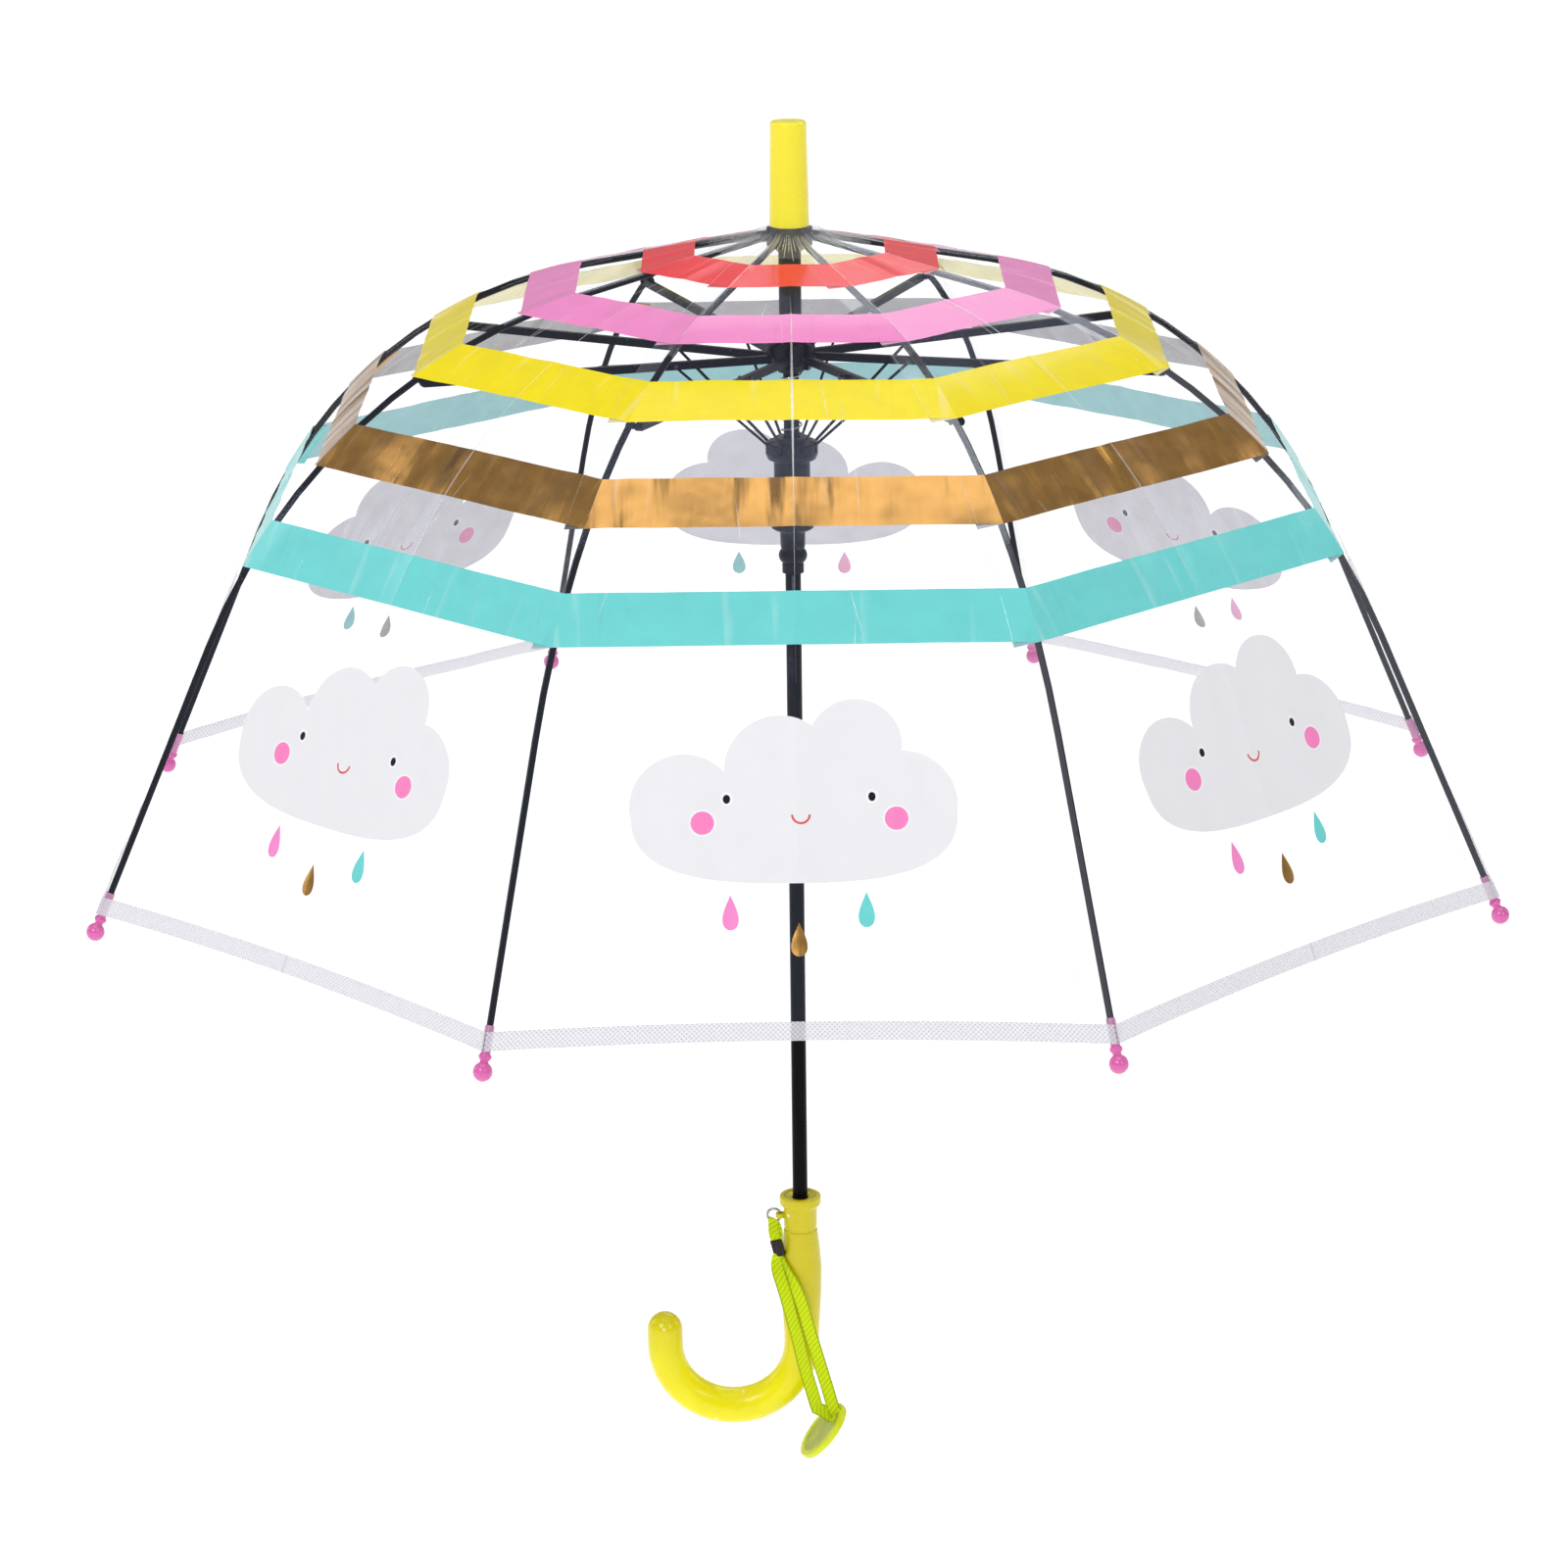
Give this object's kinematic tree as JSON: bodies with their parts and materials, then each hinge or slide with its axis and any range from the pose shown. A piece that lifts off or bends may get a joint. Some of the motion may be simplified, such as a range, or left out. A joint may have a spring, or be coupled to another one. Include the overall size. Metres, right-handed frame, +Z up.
{
  "type": "children's umbrella",
  "caption": "Clear dome umbrella for a child, open, with printed film panels, ball-tipped ribs, a sliding runner, a J hook handle and a wrist strap.",
  "frame": {"origin": "on the shaft axis in the middle of the hand grip", "axes": "+Z up the shaft to the cap, hook towards -X, strap on the -Y side"},
  "size_m": [0.6654, 0.6654, 0.6835],
  "materials": {
    "black_metal": "black lacquered steel, half gloss",
    "rib_black": "black fibreglass rod, half gloss",
    "black_plastic": "black moulded nylon",
    "yellow_plastic": "glossy yellow moulding",
    "pink_plastic": "slightly clear pink moulding",
    "steel": "dark plated wire",
    "spring_steel": "oiled dark spring wire",
    "crimp_metal": "black nickel",
    "clear_film": "clear film with printed colour bands",
    "hem_tape": "thin whitish woven tape",
    "neon_webbing": "neon yellow-green flat webbing",
    "pale_disc": "pale frosted plastic"
  },
  "bodies": {
    "frame": {"shaft": "black_metal", "ferrule_cap": "yellow_plastic", "top_notch": "black_plastic", "handle": "yellow_plastic", "strap_ring": "steel"},
    "catch": {"shaft_catch": "black_metal"},
    "runner": {"runner": "black_plastic", "opening_spring": "spring_steel"},
    "hub": {"stretcher_hub": "black_plastic"},
    "strap": {"strap_crimp": "crimp_metal", "wrist_strap": "neon_webbing", "strap_disc": "pale_disc"},
    "rib_1": {"rib_1": "rib_black", "rib_tip_1": "pink_plastic"},
    "stretcher_1": {"stretcher_1": "black_plastic"},
    "link_1": {"link_1": "black_metal"},
    "film_left_1": {"gore_1": "clear_film"},
    "film_right_1": {"hem_tape_1": "hem_tape"},
    "rib_2": {"rib_2": "rib_black", "rib_tip_2": "pink_plastic"},
    "stretcher_2": {"stretcher_2": "black_plastic"},
    "link_2": {"link_2": "black_metal"},
    "film_left_2": {"gore_2": "clear_film"},
    "film_right_2": {"hem_tape_2": "hem_tape"},
    "rib_3": {"rib_3": "rib_black", "rib_tip_3": "pink_plastic"},
    "stretcher_3": {"stretcher_3": "black_plastic"},
    "link_3": {"link_3": "black_metal"},
    "film_left_3": {"gore_3": "clear_film"},
    "film_right_3": {"hem_tape_3": "hem_tape"},
    "rib_4": {"rib_4": "rib_black", "rib_tip_4": "pink_plastic"},
    "stretcher_4": {"stretcher_4": "black_plastic"},
    "link_4": {"link_4": "black_metal"},
    "film_left_4": {"gore_4": "clear_film"},
    "film_right_4": {"hem_tape_4": "hem_tape"},
    "rib_5": {"rib_5": "rib_black", "rib_tip_5": "pink_plastic"},
    "stretcher_5": {"stretcher_5": "black_plastic"},
    "link_5": {"link_5": "black_metal"},
    "film_left_5": {"gore_5": "clear_film"},
    "film_right_5": {"hem_tape_5": "hem_tape"},
    "rib_6": {"rib_6": "rib_black", "rib_tip_6": "pink_plastic"},
    "stretcher_6": {"stretcher_6": "black_plastic"},
    "link_6": {"link_6": "black_metal"},
    "film_left_6": {"gore_6": "clear_film"},
    "film_right_6": {"hem_tape_6": "hem_tape"},
    "rib_7": {"rib_7": "rib_black", "rib_tip_7": "pink_plastic"},
    "stretcher_7": {"stretcher_7": "black_plastic"},
    "link_7": {"link_7": "black_metal"},
    "film_left_7": {"gore_7": "clear_film"},
    "film_right_7": {"hem_tape_7": "hem_tape"},
    "rib_8": {"rib_8": "rib_black", "rib_tip_8": "pink_plastic"},
    "stretcher_8": {"stretcher_8": "black_plastic"},
    "link_8": {"link_8": "black_metal"},
    "film_left_8": {"gore_8": "clear_film"},
    "film_right_8": {"hem_tape_8": "hem_tape"}
  },
  "joints": [
    {"name": "runner_slide", "type": "slide", "parent": "frame", "child": "runner", "axis": [0, 0, -1], "range_m": [0, 0.2385], "stiffness_N_per_m": 40, "springref_m": -0.2, "deforming": ["opening_spring", "shaft_catch", "gore_1", "hem_tape_1", "gore_2", "hem_tape_2", "gore_3", "hem_tape_3", "gore_4", "hem_tape_4", "gore_5", "hem_tape_5", "gore_6", "hem_tape_6", "gore_7", "hem_tape_7", "gore_8", "hem_tape_8"]},
    {"name": "hub_slide", "type": "slide", "parent": "runner", "child": "hub", "axis": [0, 0, -1], "range_m": [0, 0.02511]},
    {"name": "catch_press", "type": "slide", "parent": "frame", "child": "catch", "axis": [0, 1, 0], "range_m": [0, 0.0024], "stiffness_N_per_m": 300, "springref_m": -0.001},
    {"name": "strap_swing", "type": "hinge", "parent": "frame", "child": "strap", "pos_m": [-0.0134, 0, 0.0266], "axis": [-1, 0, 0], "range_deg": [0, 60]},
    {"name": "rib_fold_1", "type": "hinge", "parent": "frame", "child": "rib_1", "pos_m": [0.00344, -0.00831, 0.533], "axis": [0.9239, 0.3827, 0], "range_deg": [0, 46.81]},
    {"name": "stretcher_fold_1", "type": "hinge", "parent": "hub", "child": "stretcher_1", "pos_m": [0.00421, -0.01016, 0.474], "axis": [-0.9239, -0.3827, 0], "range_deg": [0, 61.48]},
    {"name": "link_fold_1", "type": "hinge", "parent": "runner", "child": "link_1", "pos_m": [0.00429, -0.01035, 0.43], "axis": [-0.9239, -0.3827, 0], "range_deg": [0, 28.16]},
    {"name": "rib_fold_2", "type": "hinge", "parent": "frame", "child": "rib_2", "pos_m": [0.00831, -0.00344, 0.533], "axis": [0.3827, 0.9239, 0], "range_deg": [0, 46.81]},
    {"name": "stretcher_fold_2", "type": "hinge", "parent": "hub", "child": "stretcher_2", "pos_m": [0.01016, -0.00421, 0.474], "axis": [-0.3827, -0.9239, 0], "range_deg": [0, 61.48]},
    {"name": "link_fold_2", "type": "hinge", "parent": "runner", "child": "link_2", "pos_m": [0.01035, -0.00429, 0.43], "axis": [-0.3827, -0.9239, 0], "range_deg": [0, 28.16]},
    {"name": "rib_fold_3", "type": "hinge", "parent": "frame", "child": "rib_3", "pos_m": [0.00831, 0.00344, 0.533], "axis": [-0.3827, 0.9239, 0], "range_deg": [0, 46.81]},
    {"name": "stretcher_fold_3", "type": "hinge", "parent": "hub", "child": "stretcher_3", "pos_m": [0.01016, 0.00421, 0.474], "axis": [0.3827, -0.9239, 0], "range_deg": [0, 61.48]},
    {"name": "link_fold_3", "type": "hinge", "parent": "runner", "child": "link_3", "pos_m": [0.01035, 0.00429, 0.43], "axis": [0.3827, -0.9239, 0], "range_deg": [0, 28.16]},
    {"name": "rib_fold_4", "type": "hinge", "parent": "frame", "child": "rib_4", "pos_m": [0.00344, 0.00831, 0.533], "axis": [-0.9239, 0.3827, 0], "range_deg": [0, 46.81]},
    {"name": "stretcher_fold_4", "type": "hinge", "parent": "hub", "child": "stretcher_4", "pos_m": [0.00421, 0.01016, 0.474], "axis": [0.9239, -0.3827, 0], "range_deg": [0, 61.48]},
    {"name": "link_fold_4", "type": "hinge", "parent": "runner", "child": "link_4", "pos_m": [0.00429, 0.01035, 0.43], "axis": [0.9239, -0.3827, 0], "range_deg": [0, 28.16]},
    {"name": "rib_fold_5", "type": "hinge", "parent": "frame", "child": "rib_5", "pos_m": [-0.00344, 0.00831, 0.533], "axis": [-0.9239, -0.3827, 0], "range_deg": [0, 46.81]},
    {"name": "stretcher_fold_5", "type": "hinge", "parent": "hub", "child": "stretcher_5", "pos_m": [-0.00421, 0.01016, 0.474], "axis": [0.9239, 0.3827, 0], "range_deg": [0, 61.48]},
    {"name": "link_fold_5", "type": "hinge", "parent": "runner", "child": "link_5", "pos_m": [-0.00429, 0.01035, 0.43], "axis": [0.9239, 0.3827, 0], "range_deg": [0, 28.16]},
    {"name": "rib_fold_6", "type": "hinge", "parent": "frame", "child": "rib_6", "pos_m": [-0.00831, 0.00344, 0.533], "axis": [-0.3827, -0.9239, 0], "range_deg": [0, 46.81]},
    {"name": "stretcher_fold_6", "type": "hinge", "parent": "hub", "child": "stretcher_6", "pos_m": [-0.01016, 0.00421, 0.474], "axis": [0.3827, 0.9239, 0], "range_deg": [0, 61.48]},
    {"name": "link_fold_6", "type": "hinge", "parent": "runner", "child": "link_6", "pos_m": [-0.01035, 0.00429, 0.43], "axis": [0.3827, 0.9239, 0], "range_deg": [0, 28.16]},
    {"name": "rib_fold_7", "type": "hinge", "parent": "frame", "child": "rib_7", "pos_m": [-0.00831, -0.00344, 0.533], "axis": [0.3827, -0.9239, 0], "range_deg": [0, 46.81]},
    {"name": "stretcher_fold_7", "type": "hinge", "parent": "hub", "child": "stretcher_7", "pos_m": [-0.01016, -0.00421, 0.474], "axis": [-0.3827, 0.9239, 0], "range_deg": [0, 61.48]},
    {"name": "link_fold_7", "type": "hinge", "parent": "runner", "child": "link_7", "pos_m": [-0.01035, -0.00429, 0.43], "axis": [-0.3827, 0.9239, 0], "range_deg": [0, 28.16]},
    {"name": "rib_fold_8", "type": "hinge", "parent": "frame", "child": "rib_8", "pos_m": [-0.00344, -0.00831, 0.533], "axis": [0.9239, -0.3827, 0], "range_deg": [0, 46.81]},
    {"name": "stretcher_fold_8", "type": "hinge", "parent": "hub", "child": "stretcher_8", "pos_m": [-0.00421, -0.01016, 0.474], "axis": [-0.9239, 0.3827, 0], "range_deg": [0, 61.48]},
    {"name": "link_fold_8", "type": "hinge", "parent": "runner", "child": "link_8", "pos_m": [-0.00429, -0.01035, 0.43], "axis": [-0.9239, 0.3827, 0], "range_deg": [0, 28.16]},
    {"name": "film_left_fold_1", "type": "hinge", "parent": "rib_1", "child": "film_left_1", "pos_m": [-0.11834, 0.01567, 0.50325], "axis": [-0.9562, 0.1805, -0.2305], "range_deg": [0, 20.96]},
    {"name": "film_right_fold_1", "type": "hinge", "parent": "rib_2", "child": "film_right_1", "pos_m": [-0.01567, 0.11834, 0.50325], "axis": [0.1805, -0.9562, 0.2305], "range_deg": [0, 20.96]},
    {"name": "film_left_fold_2", "type": "hinge", "parent": "rib_2", "child": "film_left_2", "pos_m": [-0.09476, -0.0726, 0.50325], "axis": [-0.8037, -0.5485, -0.2305], "range_deg": [0, 20.96]},
    {"name": "film_right_fold_2", "type": "hinge", "parent": "rib_3", "child": "film_right_2", "pos_m": [-0.09476, 0.0726, 0.50325], "axis": [0.8037, -0.5485, 0.2305], "range_deg": [0, 20.96]},
    {"name": "film_left_fold_3", "type": "hinge", "parent": "rib_3", "child": "film_left_3", "pos_m": [-0.01567, -0.11834, 0.50325], "axis": [-0.1805, -0.9562, -0.2305], "range_deg": [0, 20.96]},
    {"name": "film_right_fold_3", "type": "hinge", "parent": "rib_4", "child": "film_right_3", "pos_m": [-0.11834, -0.01567, 0.50325], "axis": [0.9562, 0.1805, 0.2305], "range_deg": [0, 20.96]},
    {"name": "film_left_fold_4", "type": "hinge", "parent": "rib_4", "child": "film_left_4", "pos_m": [0.0726, -0.09476, 0.50325], "axis": [0.5485, -0.8037, -0.2305], "range_deg": [0, 20.96]},
    {"name": "film_right_fold_4", "type": "hinge", "parent": "rib_5", "child": "film_right_4", "pos_m": [-0.0726, -0.09476, 0.50325], "axis": [0.5485, 0.8037, 0.2305], "range_deg": [0, 20.96]},
    {"name": "film_left_fold_5", "type": "hinge", "parent": "rib_5", "child": "film_left_5", "pos_m": [0.11834, -0.01567, 0.50325], "axis": [0.9562, -0.1805, -0.2305], "range_deg": [0, 20.96]},
    {"name": "film_right_fold_5", "type": "hinge", "parent": "rib_6", "child": "film_right_5", "pos_m": [0.01567, -0.11834, 0.50325], "axis": [-0.1805, 0.9562, 0.2305], "range_deg": [0, 20.96]},
    {"name": "film_left_fold_6", "type": "hinge", "parent": "rib_6", "child": "film_left_6", "pos_m": [0.09476, 0.0726, 0.50325], "axis": [0.8037, 0.5485, -0.2305], "range_deg": [0, 20.96]},
    {"name": "film_right_fold_6", "type": "hinge", "parent": "rib_7", "child": "film_right_6", "pos_m": [0.09476, -0.0726, 0.50325], "axis": [-0.8037, 0.5485, 0.2305], "range_deg": [0, 20.96]},
    {"name": "film_left_fold_7", "type": "hinge", "parent": "rib_7", "child": "film_left_7", "pos_m": [0.01567, 0.11834, 0.50325], "axis": [0.1805, 0.9562, -0.2305], "range_deg": [0, 20.96]},
    {"name": "film_right_fold_7", "type": "hinge", "parent": "rib_8", "child": "film_right_7", "pos_m": [0.11834, 0.01567, 0.50325], "axis": [-0.9562, -0.1805, 0.2305], "range_deg": [0, 20.96]},
    {"name": "film_left_fold_8", "type": "hinge", "parent": "rib_8", "child": "film_left_8", "pos_m": [-0.0726, 0.09476, 0.50325], "axis": [-0.5485, 0.8037, -0.2305], "range_deg": [0, 20.96]},
    {"name": "film_right_fold_8", "type": "hinge", "parent": "rib_1", "child": "film_right_8", "pos_m": [0.0726, 0.09476, 0.50325], "axis": [-0.5485, -0.8037, 0.2305], "range_deg": [0, 20.96]}
  ],
  "couplings": [
    {"joint": "hub_slide", "follows": "runner_slide", "ratio": 0.10525},
    {"joint": "rib_fold_1", "follows": "runner_slide", "rad_per_m": 3.4244},
    {"joint": "stretcher_fold_1", "follows": "runner_slide", "rad_per_m": 4.4975},
    {"joint": "link_fold_1", "follows": "runner_slide", "rad_per_m": 2.0592},
    {"joint": "rib_fold_2", "follows": "runner_slide", "rad_per_m": 3.4244},
    {"joint": "stretcher_fold_2", "follows": "runner_slide", "rad_per_m": 4.4975},
    {"joint": "link_fold_2", "follows": "runner_slide", "rad_per_m": 2.0592},
    {"joint": "rib_fold_3", "follows": "runner_slide", "rad_per_m": 3.4244},
    {"joint": "stretcher_fold_3", "follows": "runner_slide", "rad_per_m": 4.4975},
    {"joint": "link_fold_3", "follows": "runner_slide", "rad_per_m": 2.0592},
    {"joint": "rib_fold_4", "follows": "runner_slide", "rad_per_m": 3.4244},
    {"joint": "stretcher_fold_4", "follows": "runner_slide", "rad_per_m": 4.4975},
    {"joint": "link_fold_4", "follows": "runner_slide", "rad_per_m": 2.0592},
    {"joint": "rib_fold_5", "follows": "runner_slide", "rad_per_m": 3.4244},
    {"joint": "stretcher_fold_5", "follows": "runner_slide", "rad_per_m": 4.4975},
    {"joint": "link_fold_5", "follows": "runner_slide", "rad_per_m": 2.0592},
    {"joint": "rib_fold_6", "follows": "runner_slide", "rad_per_m": 3.4244},
    {"joint": "stretcher_fold_6", "follows": "runner_slide", "rad_per_m": 4.4975},
    {"joint": "link_fold_6", "follows": "runner_slide", "rad_per_m": 2.0592},
    {"joint": "rib_fold_7", "follows": "runner_slide", "rad_per_m": 3.4244},
    {"joint": "stretcher_fold_7", "follows": "runner_slide", "rad_per_m": 4.4975},
    {"joint": "link_fold_7", "follows": "runner_slide", "rad_per_m": 2.0592},
    {"joint": "rib_fold_8", "follows": "runner_slide", "rad_per_m": 3.4244},
    {"joint": "stretcher_fold_8", "follows": "runner_slide", "rad_per_m": 4.4975},
    {"joint": "link_fold_8", "follows": "runner_slide", "rad_per_m": 2.0592},
    {"joint": "film_left_fold_1", "follows": "runner_slide", "rad_per_m": 1.5326},
    {"joint": "film_right_fold_1", "follows": "runner_slide", "rad_per_m": 1.5326},
    {"joint": "film_left_fold_2", "follows": "runner_slide", "rad_per_m": 1.5326},
    {"joint": "film_right_fold_2", "follows": "runner_slide", "rad_per_m": 1.5326},
    {"joint": "film_left_fold_3", "follows": "runner_slide", "rad_per_m": 1.5326},
    {"joint": "film_right_fold_3", "follows": "runner_slide", "rad_per_m": 1.5326},
    {"joint": "film_left_fold_4", "follows": "runner_slide", "rad_per_m": 1.5326},
    {"joint": "film_right_fold_4", "follows": "runner_slide", "rad_per_m": 1.5326},
    {"joint": "film_left_fold_5", "follows": "runner_slide", "rad_per_m": 1.5326},
    {"joint": "film_right_fold_5", "follows": "runner_slide", "rad_per_m": 1.5326},
    {"joint": "film_left_fold_6", "follows": "runner_slide", "rad_per_m": 1.5326},
    {"joint": "film_right_fold_6", "follows": "runner_slide", "rad_per_m": 1.5326},
    {"joint": "film_left_fold_7", "follows": "runner_slide", "rad_per_m": 1.5326},
    {"joint": "film_right_fold_7", "follows": "runner_slide", "rad_per_m": 1.5326},
    {"joint": "film_left_fold_8", "follows": "runner_slide", "rad_per_m": 1.5326},
    {"joint": "film_right_fold_8", "follows": "runner_slide", "rad_per_m": 1.5326}
  ]
}
